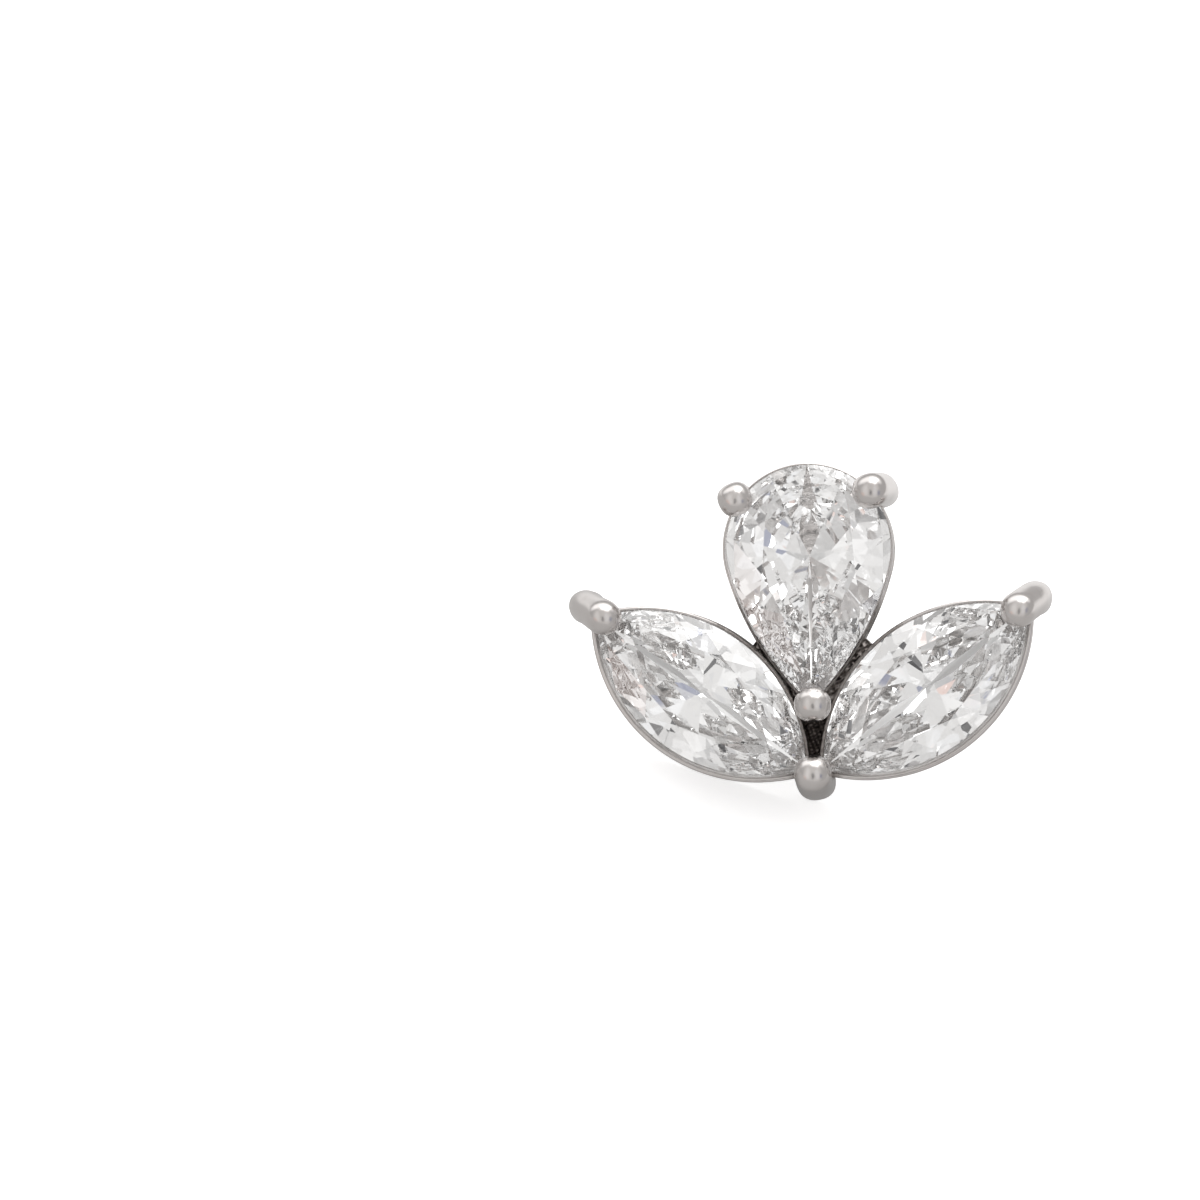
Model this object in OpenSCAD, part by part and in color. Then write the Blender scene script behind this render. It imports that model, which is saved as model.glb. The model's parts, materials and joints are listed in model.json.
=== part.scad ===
// Flower stud earring: a pear-shaped petal over two marquise leaves, in open baskets on a straight post.
// The head is drawn face up: X to its right, Y to its top, Z out of its face, with the back plane of the
// baskets at Z = 0 and the post running down the Z axis. The last step lays it down as it rests unworn.

/* [Pear stone] */
// Radius of the pear's round head
pear_r = 3.1; // [2.9:0.05:3.2]
// From the middle of the round head to the point
pear_tip = 5.85; // [5.6:0.05:5.95]
// Radius of the long flanks
pear_flank_r = 11; // [9:0.5:12]
// Middle of the pear across, against the post
pear_x = -0.06; // [-0.1:0.01:0]
// Height of the round head's middle against the post
pear_y = -2.11; // [-2.2:0.01:-2.05]
// Depth of the pear below its girdle
pear_depth = 2.35; // [2:0.05:2.45]

/* [Marquise stones] */
// Length of each marquise
leaf_len = 9.7; // [9.4:0.05:9.9]
// Width of each marquise
leaf_w = 4.84; // [4.6:0.02:4.9]
// Rise of each marquise's outer end, in degrees
leaf_rise = 37; // [36:0.5:38]
// From the post's axis across to the middle of a marquise
leaf_x = 4.22; // [4.15:0.01:4.35]
// Height of a marquise's middle against the post
leaf_y = -7.52; // [-7.6:0.01:-7.45]
// Depth of a marquise below its girdle
leaf_depth = 1.95; // [1.6:0.05:2.05]

/* [Cut] */
// Height of the girdle's lower edge above the back plane
girdle_z = 3; // [2.95:0.05:3.05]
// Thickness of the girdle
girdle_h = 0.42; // [0.3:0.02:0.5]
// Height of the crown above the girdle
crown_h = 0.48; // [0.4:0.02:0.56]
// Size of the table against the whole stone
table_size = 0.63; // [0.56:0.01:0.68]
// How far the star facets reach down the crown
star_size = 0.5; // [0.35:0.05:0.65]
// Where the lower girdle facets stop, from the culet outwards
lower_size = 0.24; // [0.16:0.02:0.4]

/* [Baskets] */
// Thickness of a basket's wall
wall = 0.7; // [0.6:0.05:0.8]
// How far the pear's basket stands out past its stone
pear_rim = 0.08; // [0.06:0.01:0.12]
// How far the pear's basket lies to the left of its stone
pear_rim_left = 0.06; // [0:0.01:0.08]
// How far the pear's basket lies below its stone
pear_rim_down = 0.08; // [0:0.01:0.1]
// Height of the pear's basket
pear_basket_h = 2.9; // [2.8:0.05:2.95]
// Height of the pear's lower rail
pear_rail_h = 0.81; // [0.7:0.01:0.9]
// How far a marquise's basket stands out past its stone
leaf_rim = 0.22; // [0.18:0.01:0.25]
// How far a marquise's basket lies below its stone
leaf_rim_down = 0.07; // [0:0.01:0.1]
// Height of a marquise's basket
leaf_basket_h = 3.25; // [3.15:0.05:3.3]
// Height of a marquise's lower rail
leaf_rail_h = 1.15; // [1:0.05:1.25]
// Height of the windows between the rails
window_h = 0.99; // [0.9:0.01:1.05]
// Room between each stone and its seat
seat_gap = 0.03; // [0.02:0.01:0.05]
// Top of the metal that joins the pear's basket to the marquises'
web_top = 2.75; // [2.6:0.05:2.85]
// Top of the metal in the slot between the two marquises
slot_top = 2; // [1.7:0.05:2.3]

/* [Prongs] */
// Height of the prongs' ends above the back plane
prong_top = 4.9; // [4.8:0.05:5]
// Height at which a prong starts to lean over its stone
prong_bend = 2.9; // [2.7:0.05:3]
// Radius of the bead between the three stones
bead_r = 0.7; // [0.66:0.01:0.74]
// Height of that bead's middle against the post
bead_y = -8.04; // [-8.08:0.01:-8]

/* [Post] */
// Diameter of the post
post_d = 0.8; // [0.7:0.05:0.9]
// Length of the post behind its pad
post_len = 12; // [11:0.5:13]
// Diameter of the pad that carries the post
pad_d = 2.1; // [1.9:0.1:2.2]
// How far the pad stands out behind the back plane
pad_back = 0.25; // [0.2:0.05:0.3]
// Height of the pad's front face above the back plane
pad_top = 1.09; // [1:0.01:1.12]
// Distance of the clutch's groove behind the pad
groove_at = 9.44; // [9:0.04:9.6]
// Width of the groove
groove_w = 0.34; // [0.3:0.02:0.4]
// Depth of the groove
groove_deep = 0.055; // [0.04:0.005:0.08]
// Length of the post's tapered nose
nose_len = 0.5; // [0.4:0.05:0.7]
// Radius of the post's round tip
tip_r = 0.28; // [0.2:0.01:0.3]

/* [Hidden] */
$fn = 96;
metal = "silver";
crystal = "aliceblue";

// Prongs, a row each: foot across and up, its radius, end across and up, its radius, and height of the
// foot. They are pushed over by hand, so the pear's two don't lean alike.
prongs = [
    [-2.80, -0.16, 0.62, -2.76, -0.22, 0.65, 0.05],
    [2.66, 0.02, 0.64, 2.38, -0.05, 0.66, 0.05],
    [-8.56, -4.17, 0.66, -7.82, -4.60, 0.69, -0.05],
    [8.41, -4.19, 0.66, 7.81, -4.64, 0.69, -0.05],
    [0.02, -10.97, 0.70, -0.05, -10.72, 0.70, -pad_back],
];

girdle_top = girdle_z + girdle_h;
table_z = girdle_top + crown_h;
reach = 20;

// A marquise is two equal arcs, whose centres lie off its long axis
leaf_r = (leaf_len ^ 2 + leaf_w ^ 2) / (4 * leaf_w);
leaf_off = leaf_r - leaf_w / 2;
leaf_end = asin(leaf_len / 2 / leaf_r);

// The pear's flank arcs leave its round head tangentially and meet at the point
flank_y = (pear_r * (2 * pear_flank_r - pear_r) - pear_tip ^ 2) / (2 * pear_tip);
flank_x = sqrt((pear_flank_r - pear_r) ^ 2 - flank_y ^ 2);
flank_from = -atan2(flank_y, flank_x);
flank_to = -atan2(pear_tip + flank_y, flank_x);

module leaf_outline(grow = 0) {
    intersection() {
        translate([0, leaf_off]) circle(leaf_r + grow);
        translate([0, -leaf_off]) circle(leaf_r + grow);
    }
}

module pear_outline(grow = 0) {
    circle(pear_r + grow);
    intersection() {
        translate([-flank_x, flank_y]) circle(pear_flank_r + grow);
        translate([flank_x, flank_y]) circle(pear_flank_r + grow);
        translate([-reach, -reach]) square([2 * reach, reach + (pear_r + grow) * sin(flank_from)]);
    }
}

// Sixteen marks round each girdle, from which its facets are laid out. The even ones are the main facets.
// A mark is a point of the outline and the outward direction there.
function leaf_mark(i) =
    let (upper = i <= 8, turn = leaf_end * (upper ? 1 - i / 4 : i / 4 - 3), side = upper ? 1 : -1)
    i == 0 || i == 8 ? [[sign(4 - i) * leaf_len / 2, 0], [sign(4 - i), 0]]
    : [[leaf_r * sin(turn), side * (leaf_r * cos(turn) - leaf_off)], [sin(turn), side * cos(turn)]];

function pear_mark(i) =
    let (k = min(i, 16 - i), side = i > 8 ? 1 : -1, head = 90 - 27.5 * k,
        flank = flank_from + (flank_to - flank_from) * (k - 3.5) / 4.5)
    k == 8 ? [[0, -pear_tip], [0, -1]]
    : k < 4 ? [pear_r * [side * cos(head), sin(head)], [side * cos(head), sin(head)]]
    : [[side * (pear_flank_r * cos(flank) - flank_x), pear_flank_r * sin(flank) + flank_y],
        [side * cos(flank), sin(flank)]];

leaf_marks = [for (i = [0:15]) leaf_mark(i)];
pear_marks = [for (i = [0:15]) pear_mark(i)];
leaf_heart = [0, 0];
pear_heart = [0, -0.3];

// A facet is its outward direction and its distance from the origin, from three points that it passes
function facet(a, b, c, inside) =
    let (n = cross(b - a, c - a), out = n * (inside - a) > 0 ? -n : n)
    [out / norm(out), out * a / norm(out)];

function lift(p, z) = [p.x, p.y, z];
function spot(marks, i, z) = lift(marks[i % 16][0], z);
function along(marks, i) = let (n = marks[i % 16][1]) [-n.y, n.x, 0];
function between(from, to, share) = from + (to - from) * share;

// Where the girdle lines of main facets i and i + 2 cross
function crossing(marks, i) =
    let (a = marks[i % 16], b = marks[(i + 2) % 16], ca = a[0] * a[1], cb = b[0] * b[1])
    [ca * b[1].y - cb * a[1].y, cb * a[1].x - ca * b[1].x] / cross(a[1], b[1]);

// Crown: a bezel, a star and two upper girdle facets for each main mark
function crown_facets(marks, heart) =
    let (inside = lift(heart, girdle_z), star = table_size + (1 - table_size) * star_size,
        star_z = girdle_top + crown_h * (1 - star) / (1 - table_size))
    [for (i = [0:2:14])
        let (g0 = spot(marks, i, girdle_top), g1 = spot(marks, i + 1, girdle_top),
            g2 = spot(marks, i + 2, girdle_top), s = lift(between(heart, crossing(marks, i), star), star_z),
            t0 = lift(between(heart, marks[i][0], table_size), table_z),
            t2 = lift(between(heart, marks[(i + 2) % 16][0], table_size), table_z))
        each [facet(g0, g0 + along(marks, i), t0, inside), facet(t0, t2, s, inside),
            facet(s, g0, g1, inside), facet(s, g1, g2, inside)]];

// Pavilion: a main facet down to the culet and two lower girdle facets for each main mark
function pavilion_facets(marks, heart, depth) =
    let (inside = lift(heart, girdle_z), culet = lift(heart, girdle_z - depth))
    [for (i = [0:2:14])
        let (g0 = spot(marks, i, girdle_z), g1 = spot(marks, i + 1, girdle_z),
            g2 = spot(marks, i + 2, girdle_z),
            s = between(culet, lift(crossing(marks, i), girdle_z), lower_size))
        each [facet(g0, g0 + along(marks, i), culet, inside),
            facet(s, g0, g1, inside), facet(s, g1, g2, inside)]];

// The side of a facet's plane that the stone lies on
module under(f, grow) {
    rotate([0, acos(f[0].z), atan2(f[0].y, f[0].x)])
        translate([-reach, -reach, f[1] + grow - reach]) cube([2 * reach, 2 * reach, reach]);
}

// Cuts the outline given as children into a faceted stone. A positive grow is the room cut for its seat.
module cut_stone(marks, heart, depth, grow) {
    intersection() {
        translate([0, 0, girdle_z - depth - 2 * grow])
            linear_extrude(depth + girdle_h + crown_h + 3 * grow) children();
        intersection_for (f = concat(crown_facets(marks, heart), pavilion_facets(marks, heart, depth)))
            under(f, grow);
    }
}

module pear(grow = 0) {
    translate([pear_x, pear_y, 0]) cut_stone(pear_marks, pear_heart, pear_depth, grow) pear_outline(grow);
}

module leaf_place(side) {
    translate([side * leaf_x, leaf_y, 0]) rotate(side * leaf_rise) children();
}

module leaf(side, grow = 0) {
    leaf_place(side) cut_stone(leaf_marks, leaf_heart, leaf_depth, grow) leaf_outline(grow);
}

// Opening through a basket's wall between its two rails
module window(from, to, rail_h) {
    translate([from.x, from.y, rail_h]) cube([to.x - from.x, to.y - from.y, window_h]);
}

module pear_basket_place() {
    translate([pear_x - pear_rim_left, pear_y - pear_rim_down, 0]) children();
}

module pear_basket() {
    pear_basket_place() difference() {
        linear_extrude(pear_basket_h) difference() {
            pear_outline(pear_rim);
            pear_outline(pear_rim - wall);
        }
        window([-1.7, 1], [1.7, 4], pear_rail_h);
        window([-4, -3.2], [4, 1.1], pear_rail_h);
    }
}

module leaf_basket_place(side) {
    leaf_place(side) translate([0, -leaf_rim_down, 0]) children();
}

// The inner windows end where the marquise meets the pear's basket
module leaf_basket(side) {
    leaf_basket_place(side) difference() {
        linear_extrude(leaf_basket_h) difference() {
            leaf_outline(leaf_rim);
            leaf_outline(leaf_rim - wall);
        }
        window([min(-side * 4, side * 3.4), -4], [max(-side * 4, side * 3.4), 0], leaf_rail_h);
        window([min(side * 0.6, side * 3.4), 0], [max(side * 0.6, side * 3.4), 4], leaf_rail_h);
    }
}

// Metal that fills the gaps between the three baskets, kept out of their hollows
module web() {
    difference() {
        union() {
            linear_extrude(web_top) polygon([[-2.6, -5.3], [2.6, -5.3], [0.9, bead_y], [-0.9, bead_y]]);
            linear_extrude(slot_top) polygon([[-0.9, bead_y], [0.9, bead_y], [0.5, -10.8], [-0.5, -10.8]]);
        }
        translate([0, 0, -1]) linear_extrude(6) {
            pear_basket_place() pear_outline(pear_rim - wall);
            for (side = [-1, 1]) leaf_basket_place(side) leaf_outline(leaf_rim - wall);
        }
    }
}

// Rod along Z with a round end, from radius r1 at its foot to r2 where the end begins
module round_rod(r1, r2, h) {
    rotate_extrude() {
        polygon([[0, 0], [r1, 0], [r2, h], [0, h]]);
        intersection() {
            translate([0, h]) circle(r2);
            translate([0, h]) square(2 * r2);
        }
    }
}

// Straight rod outside the basket, then a lean over the stone. The lean is a little slimmer at its foot.
module prong(p) {
    bend = [p[0], p[1], prong_bend];
    end = [p[3], p[4], prong_top - p[5]];
    lean = end - bend;
    translate([p[0], p[1], p[6]]) round_rod(p[2], p[2], prong_bend - p[6]);
    translate(bend) rotate([0, acos(lean.z / norm(lean)), atan2(lean.y, lean.x)])
        round_rod(p[2] - 0.02, p[5], norm(lean));
}

module bead() {
    translate([0, bead_y, pad_top]) round_rod(bead_r, bead_r, prong_top - bead_r - pad_top);
}

// Disc with a rounded rim that joins the top of the pear's basket to the post
module pad() {
    edge = 0.2;
    translate([0, 0, -pad_back]) rotate_extrude() {
        square([pad_d / 2 - edge, pad_top + pad_back]);
        translate([0, edge]) square([pad_d / 2, pad_top + pad_back - edge]);
        translate([pad_d / 2 - edge, edge]) circle(edge);
    }
}

// Plain rod with a shallow groove for the clutch, a tapered nose and a round tip
module post() {
    r = post_d / 2;
    translate([0, 0, -pad_back]) rotate([180, 0, 0]) rotate_extrude() {
        polygon([[0, -pad_back], [r, -pad_back],
            [r, groove_at - groove_w / 2], [r - groove_deep, groove_at], [r, groove_at + groove_w / 2],
            [r, post_len - nose_len], [tip_r, post_len - tip_r], [0, post_len - tip_r]]);
        intersection() {
            translate([0, post_len - tip_r]) circle(tip_r);
            translate([0, post_len - 2 * tip_r]) square(2 * tip_r);
        }
    }
}

module metalwork() {
    difference() {
        union() {
            pear_basket();
            leaf_basket(-1);
            leaf_basket(1);
            web();
            for (p = prongs) prong(p);
            bead();
            pad();
        }
        pear(seat_gap);
        leaf(-1, seat_gap);
        leaf(1, seat_gap);
    }
    post();
}

// At rest the stud lies on three things: the tip of its post, the foot of its lowest prong and the lower
// edge of the left marquise's basket. Each pass lays a plane on the points of them that lie furthest down.
low_prong = prongs[4];
edge_up = leaf_off - leaf_rim_down;
edge_mid = [edge_up * sin(leaf_rise) - leaf_x, leaf_y + edge_up * cos(leaf_rise), 0];

function sideways(d) = [d.x, d.y, 0] / norm([d.x, d.y]);
function on_tip(d) = [0, 0, tip_r - post_len - pad_back] + tip_r * d;
function on_prong(d) = [low_prong[0], low_prong[1], low_prong[6]] + low_prong[2] * sideways(d);
function on_edge(d) = edge_mid + (leaf_r + leaf_rim) * sideways(d);
function settle(d, passes) =
    passes == 0 ? d
    : settle(facet(on_tip(d), on_prong(d), on_edge(d), [0, leaf_y, leaf_depth])[0], passes - 1);

down = settle([-0.2, -0.7, -0.68], 12);
turn_down = -90 - atan2(down.y, down.x);
lean_back = acos(-down.z);

// The directions in the head that become X and Y at rest
across = [cos(turn_down), -sin(turn_down), 0];
behind = [sin(turn_down) * cos(lean_back), cos(turn_down) * cos(lean_back), -sin(lean_back)];

// How far the stud reaches in a direction: its prongs' ends and feet and the post's tip stand out furthest
function end_reach(p, d) = [p[3], p[4], prong_top - p[5]] * d + p[5];
function foot_reach(p, d) = [p[0], p[1], p[6]] * d + p[2] * norm([d.x, d.y]);
function reach_to(d) =
    max(concat([for (p = prongs) max(end_reach(p, d), foot_reach(p, d))], [on_tip(d) * d]));
function centre_by(d) = (reach_to(-d) - reach_to(d)) / 2;

// Lays the head down with its face up and forward, and the origin below the middle of its box
module at_rest() {
    translate([centre_by(across), centre_by(behind), on_tip(down) * down])
        rotate([lean_back, 0, 0]) rotate([0, 0, turn_down]) children();
}

module setting() {
    color(metal) at_rest() metalwork();
}

module pear_stone() {
    color(crystal) at_rest() pear();
}

module marquise_left() {
    color(crystal) at_rest() leaf(-1);
}

module marquise_right() {
    color(crystal) at_rest() leaf(1);
}

setting();
pear_stone();
marquise_left();
marquise_right();
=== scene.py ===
# %% [markdown]
# # A flower stud earring
#
# The real thing is a small piece of fashion jewellery: a pear-cut stone above two marquise-cut stones, held
# by prongs in open baskets that were cast in brass, soldered to a straight post and plated silver. The
# solids come from the frame. The three stones keep their exact facets and only get a finish. The cast
# setting is made again here, because casting and tumbling leave soft edges and smooth bends that the plain
# solid doesn't have.

import json

import bpy
import numpy as np
from mathutils import Matrix, Vector


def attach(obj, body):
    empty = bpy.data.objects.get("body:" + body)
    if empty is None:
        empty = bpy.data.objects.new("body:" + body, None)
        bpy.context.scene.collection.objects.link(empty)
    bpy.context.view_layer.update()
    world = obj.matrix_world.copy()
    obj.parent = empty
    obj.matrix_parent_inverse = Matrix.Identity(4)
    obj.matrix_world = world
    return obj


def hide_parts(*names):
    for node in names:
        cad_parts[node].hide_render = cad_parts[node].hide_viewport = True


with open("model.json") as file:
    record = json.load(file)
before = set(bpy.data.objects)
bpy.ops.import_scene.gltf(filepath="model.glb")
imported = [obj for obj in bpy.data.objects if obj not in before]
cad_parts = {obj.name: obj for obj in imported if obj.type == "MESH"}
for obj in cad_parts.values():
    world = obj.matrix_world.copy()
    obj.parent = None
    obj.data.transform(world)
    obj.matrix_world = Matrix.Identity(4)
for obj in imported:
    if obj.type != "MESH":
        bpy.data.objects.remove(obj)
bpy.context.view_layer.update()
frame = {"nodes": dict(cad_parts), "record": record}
MM = 0.001

# %% [markdown]
# ## The head's own axes
#
# The stud lies as it would on a table: on the tip of its post, its lowest prong and one basket's edge.
# Drawing every prong in that tilted pose would be hard to follow, so the shapes are drawn face up, with X
# to the head's right, Y to its top and Z out of its face, in millimetres, and one function lays them down.
# The pose isn't guessed: the post's mount gives the Z axis and the place, and the middles of the two
# marquises give X.

# %% The head's axes, read from the frame
# The post's mount lies this many millimetres behind the head's origin
POST_MOUNT_DEPTH = 6.0


def triangles(node):
    """First, second and third corners of the triangles of a node's surface, in metres."""
    mesh = node.data
    mesh.calc_loop_triangles()
    corners = np.empty(len(mesh.loop_triangles) * 3, int)
    mesh.loop_triangles.foreach_get("vertices", corners)
    places = np.empty(len(mesh.vertices) * 3)
    mesh.vertices.foreach_get("co", places)
    return places.reshape(-1, 3)[corners.reshape(-1, 3)].transpose(1, 0, 2)


def surface_middle(node):
    """Middle of a node's surface: the average of its triangles' middles, each weighted by its area."""
    a, b, c = triangles(node)
    area = np.linalg.norm(np.cross(b - a, c - a), axis=1)
    return ((a + b + c) / 3 * area[:, None]).sum(0) / area.sum()


def unit(v):
    """The same direction with length 1."""
    return v / np.linalg.norm(v, axis=-1, keepdims=True)


mount = frame["record"]["mounts"][0]
axis_z = unit(-np.array(mount["axis"]))
to_right = surface_middle(frame["nodes"]["marquise_right"]) - surface_middle(frame["nodes"]["marquise_left"])
axis_x = unit(to_right - axis_z * (to_right @ axis_z))
axis_y = np.cross(axis_z, axis_x)
HEAD_AXES = np.array([axis_x, axis_y, axis_z])
HEAD_ORIGIN = np.array(mount["pos_m"]) + axis_z * POST_MOUNT_DEPTH * MM


def lay(points):
    """Head millimetres to frame metres: each coordinate times its axis, added to the head's origin."""
    return HEAD_ORIGIN + MM * np.asarray(points, float) @ HEAD_AXES


print("face leans back from the vertical by", round(np.degrees(np.arcsin(axis_z[2])), 2), "degrees")

# %% [markdown]
# ## Camera
#
# The photograph looks almost straight at the face: the eye is 2 degrees to the head's right of the face's
# axis and 1.8 degrees below it, and the head stands turned 1.2 degrees anticlockwise in the picture. A long
# lens keeps the perspective as flat as the photograph's. The camera is placed by one point of the head,
# which has to land on the same pixel as in the photograph, and then turned a little so that the frame's
# middle is where it should be.

# %% Place the camera
IMAGE_SIDE = 1200
PIXELS_PER_MM = 26.5
LENS, SENSOR = 250, 36
EYE_RIGHT, EYE_BELOW, TURN = np.radians([2.0, 1.8, 1.2])
SEEN_POINT = np.array([0, 0.14, 3.2])
SEEN_PIXEL = np.array([809.0, 487.6])


def head_direction(right, up, out):
    """A direction given in the head's axes, in the frame's."""
    return np.array([right, up, out]) @ HEAD_AXES


sideways = head_direction(np.cos(EYE_RIGHT), 0, -np.sin(EYE_RIGHT))
upwards = head_direction(
    np.sin(EYE_RIGHT) * np.sin(EYE_BELOW), np.cos(EYE_BELOW), np.cos(EYE_RIGHT) * np.sin(EYE_BELOW))
TO_EYE = np.cross(sideways, upwards)
SCREEN_RIGHT = np.cos(TURN) * sideways - np.sin(TURN) * upwards
SCREEN_UP = np.sin(TURN) * sideways + np.cos(TURN) * upwards

half_angle_tan = SENSOR / 2 / LENS
distance = IMAGE_SIDE / PIXELS_PER_MM / 2 / half_angle_tan * MM
offset = (SEEN_PIXEL - IMAGE_SIDE / 2) / (IMAGE_SIDE / 2) * half_angle_tan
ray = Vector((offset[0], -offset[1], -1))
upright = Matrix(np.array([SCREEN_RIGHT, SCREEN_UP, TO_EYE]).T.tolist()).to_quaternion()
swing = ray.rotation_difference(Vector((0, 0, -1)))

camera = bpy.data.objects.new("camera", bpy.data.cameras.new("camera"))
bpy.context.scene.collection.objects.link(camera)
camera.data.lens = LENS
camera.data.sensor_width = SENSOR
camera.data.clip_start, camera.data.clip_end = 0.01, 10
camera.rotation_mode = "QUATERNION"
camera.rotation_quaternion = upright @ swing
camera.location = Vector(lay(SEEN_POINT) + TO_EYE * distance * ray.length)
bpy.context.scene.camera = camera
print("camera height above the floor in mm:", round(camera.location.z / MM, 1))

# %% [markdown]
# ## Tools for surfaces
#
# Every piece below is a grid of points: one direction runs round or along the piece, the other round its
# section. A grid can be closed in either direction, and a row that has shrunk to a point becomes one
# vertex, so that no hole or seam is left. The signed volume of the finished mesh tells whether its faces
# point outwards.

# %% Grids, and tests that a surface is closed and turned outwards
# Decimals of a millimetre to which two points have to agree to become one
SAME_PLACE = 5


def grid_faces(rows, columns, closed_rows=False, closed_columns=True):
    """Four-cornered faces between neighbouring points of a grid, as indices into its flattened points."""
    i = np.arange(rows if closed_rows else rows - 1)[:, None]
    j = np.arange(columns if closed_columns else columns - 1)[None, :]
    below, beside = (i + 1) % rows, (j + 1) % columns
    corners = [i * columns + j, i * columns + beside, below * columns + beside, below * columns + j]
    return np.stack(np.broadcast_arrays(*corners), -1).reshape(-1, 4)


def merged(points, faces):
    """Which points are left when those that lie together become one, and the faces between what is left.

    A face that loses a corner names its neighbour twice.
    """
    _, first, same = np.unique(np.round(points, SAME_PLACE), axis=0, return_index=True, return_inverse=True)
    faces = same.reshape(-1)[faces]
    return first, faces[(faces != np.roll(faces, 1, axis=1)).sum(1) > 2]


def volume(points, faces):
    """Signed volume: a sixth of the sum of a . (b x c) over the two triangles of each face."""
    a, b, c = points[faces[:, [[0, 1, 2], [0, 2, 3]]].reshape(-1, 3)].transpose(1, 0, 2)
    return np.einsum("ij,ij->i", a, np.cross(b, c)).sum() / 6


def open_edges(faces):
    """How many edges don't belong to exactly two faces."""
    edges = np.sort(np.stack([faces, np.roll(faces, 1, axis=1)], -1).reshape(-1, 2), axis=1)
    edges = edges[edges[:, 0] != edges[:, 1]]
    return int((np.unique(edges, axis=0, return_counts=True)[1] != 2).sum())


# %% [markdown]
# ## From a surface to a piece
#
# A cast setting isn't equally bright all over, and its finish depends on where the polisher's and the
# setter's tools could reach. Its darkening in corners, inside the baskets and between them is partly tarnish
# and partly painted shade. That is known while a surface is worked out, so it is written on its points as
# attributes, together with each point's place on the head, and one material can then serve all the pieces.
# Painting a mask by hand would give the same, but it would be lost as soon as a size changes.

# %% A mesh that carries its finish on its points
def make_piece(name, points, faces, dullness=0.0, fresh=0.0):
    """A smooth mesh from head millimetres and faces, laid down, turned outwards and riding on the stud.

    dullness goes from 0, where tumbling polished the metal, to 1 in the corners that it never reached;
    it darkens the metal, partly as tarnish and partly as painted shade. Fresh is 1 where the setter's cutter
    left the metal bright.
    """
    marks = [np.broadcast_to(mark, np.shape(points)[:-1]).reshape(-1) for mark in (dullness, fresh)]
    points = np.asarray(points, float).reshape(-1, 3)
    first, faces = merged(points, faces)
    points = points[first]
    size = volume(points, faces)
    if size < 0:
        faces = faces[:, ::-1]
    mesh = bpy.data.meshes.new(name)
    mesh.from_pydata(lay(points).tolist(), [], [list(dict.fromkeys(face)) for face in faces.tolist()])
    mesh.shade_smooth()
    for word, mark in zip(("dullness", "fresh"), marks):
        mesh.attributes.new(word, "FLOAT", "POINT").data.foreach_set("value", mark[first].astype(np.float32))
    mesh.attributes.new("head_mm", "FLOAT_VECTOR", "POINT").data.foreach_set(
        "vector", points.astype(np.float32).ravel())
    piece = bpy.data.objects.new(name, mesh)
    bpy.context.scene.collection.objects.link(piece)
    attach(piece, "root")
    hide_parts("setting")
    print(f"{name}: {len(faces)} faces, {abs(size):.3f} mm3, {open_edges(faces)} open edges")
    return piece


TUMBLED_EDGE, SHARP_ANGLE = 0.07, 35


def soften(piece):
    """Rounds the edges that turn by more than the sharp angle, with a Bevel, as tumbling does."""
    bevel = piece.modifiers.new("tumbled edges", "BEVEL")
    bevel.width = TUMBLED_EDGE * MM
    bevel.segments = 3
    bevel.limit_method = "ANGLE"
    bevel.angle_limit = np.radians(SHARP_ANGLE)
    bevel.harden_normals = True


# %% [markdown]
# ## Seats under the stones
#
# A setter cuts a notch in each prong and a ledge in each basket, in which the stone's edge sits. A boolean
# cut would do that too, but it leaves ragged shading where it meets a curved prong. A cut stone is convex,
# so a simpler way works: a point of the metal that lies inside a stone, which is behind all of its facets'
# planes, is pushed out through the nearest facet. The metal then lies against the stone with the solids'
# small gap.

# %% Facet planes of the stones, and metal pressed clear of them
SEAT_GAP, NO_AREA = 0.03, 1e-5
STONES = ["pear_stone", "marquise_left", "marquise_right"]


def facet_planes(node):
    """Outward direction, and distance from the head's origin, of the plane of each triangle of a stone."""
    corners = (triangles(node) - HEAD_ORIGIN) / MM @ HEAD_AXES.T
    a, b, c = corners
    across = np.cross(b - a, c - a)
    real = np.linalg.norm(across, axis=1) > NO_AREA
    out, a = unit(across[real]), a[real]
    out *= np.sign(np.einsum("ij,ij->i", out, a - corners.mean((0, 1))))[:, None]
    return out, np.einsum("ij,ij->i", out, a)


FACETS = [facet_planes(frame["nodes"][name]) for name in STONES]


def pressed(points):
    """Points behind every plane of a stone go out along the direction of the nearest plane, up to the gap."""
    points = np.array(points, float)
    flat = points.reshape(-1, 3)
    for out, reach in FACETS:
        above = flat @ out.T - reach - SEAT_GAP
        flat -= np.minimum(above.max(1), 0)[:, None] * out[above.argmax(1)]
    return points


print("planes:", {name: len(out) for name, (out, _) in zip(STONES, FACETS)})

# %% [markdown]
# ## Outlines
#
# The marquise is the lens where two equal circles overlap. The pear is a round head whose flanks are two
# large arcs that leave it without a kink and meet at the point. Both are kept as lists of arcs, not points,
# because a basket needs the same outline several times: a little larger for its outside, smaller for its
# inside. An arc's radius grows, and where two arcs meet in a point their ends follow, so the point stays
# sharp.

# %% The two outlines as arcs
PEAR_R, PEAR_TIP, PEAR_FLANK_R, PEAR_X, PEAR_Y = 3.1, 5.85, 11, -0.06, -2.11
LEAF_LEN, LEAF_W, LEAF_RISE, LEAF_X, LEAF_Y = 9.7, 4.84, 37, 4.22, -7.52
PEAR_LEFT, PEAR_DOWN, LEAF_DOWN = 0.04, 0.04, 0.07

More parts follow.
